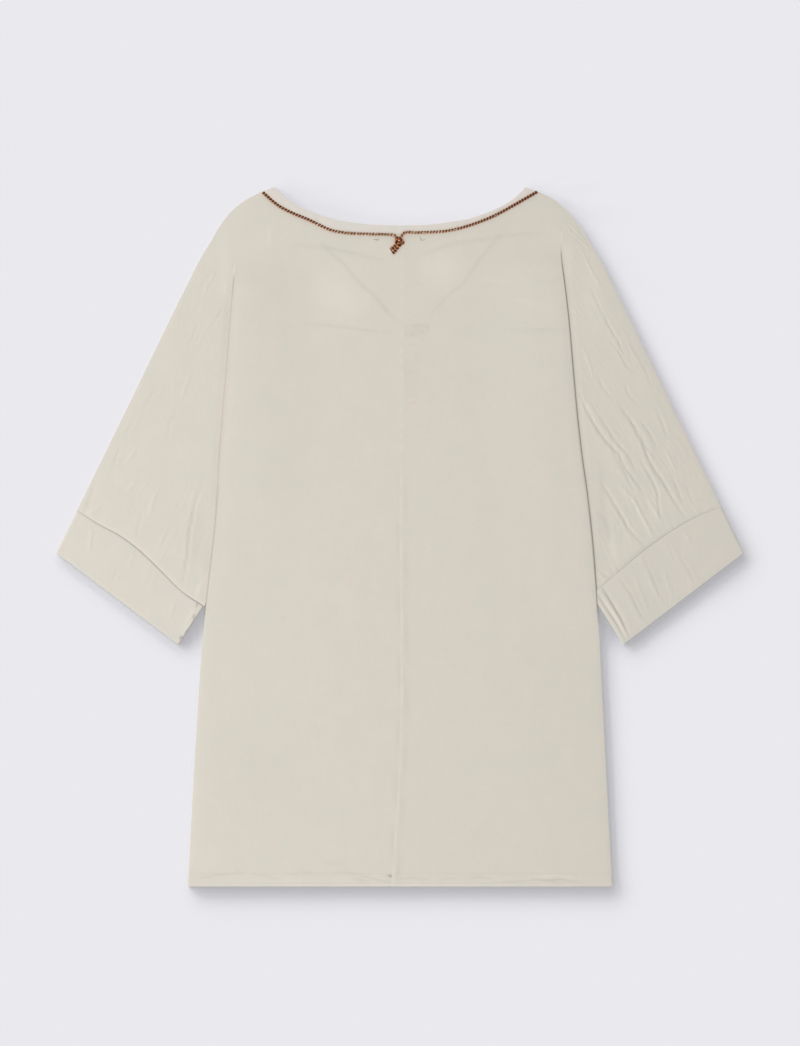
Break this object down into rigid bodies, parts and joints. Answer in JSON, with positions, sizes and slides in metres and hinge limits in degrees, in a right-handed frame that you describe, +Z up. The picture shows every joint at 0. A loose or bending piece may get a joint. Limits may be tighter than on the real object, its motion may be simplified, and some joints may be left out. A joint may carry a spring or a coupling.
{
  "type": "tunic top",
  "caption": "Loose tunic top laid flat, back upward, with wide sleeves cut in one with the body, deep cuffs, pleated underarms and a corded, knotted back neckline.",
  "frame": {"origin": "on the surface the garment lies on, under the middle of its outline", "axes": "+Z up, from the front of the garment to its back; +Y from the hem to the neckline; +X toward the wearer's right"},
  "size_m": [0.8066, 0.8192, 0.0098],
  "materials": {
    "cloth": "light plain-woven cotton, matte, undyed cream",
    "neckband": "the same cotton, double, pressed flat and edge-stitched",
    "cuff": "the same cotton, double, with a folded hem edge",
    "cord": "twisted cord of reddish brown strands with pale flecks"
  },
  "bodies": {
    "root": {"front": "cloth", "back_left": "cloth", "back_right": "cloth", "neckband_front": "neckband", "neckband_back": "neckband", "cuff_left": "cuff", "cuff_right": "cuff", "neck_cord_left": "cord", "neck_cord_right": "cord", "neck_knot": "cord", "cord_tail_left": "cord", "cord_tail_right": "cord"}
  },
  "joints": []
}
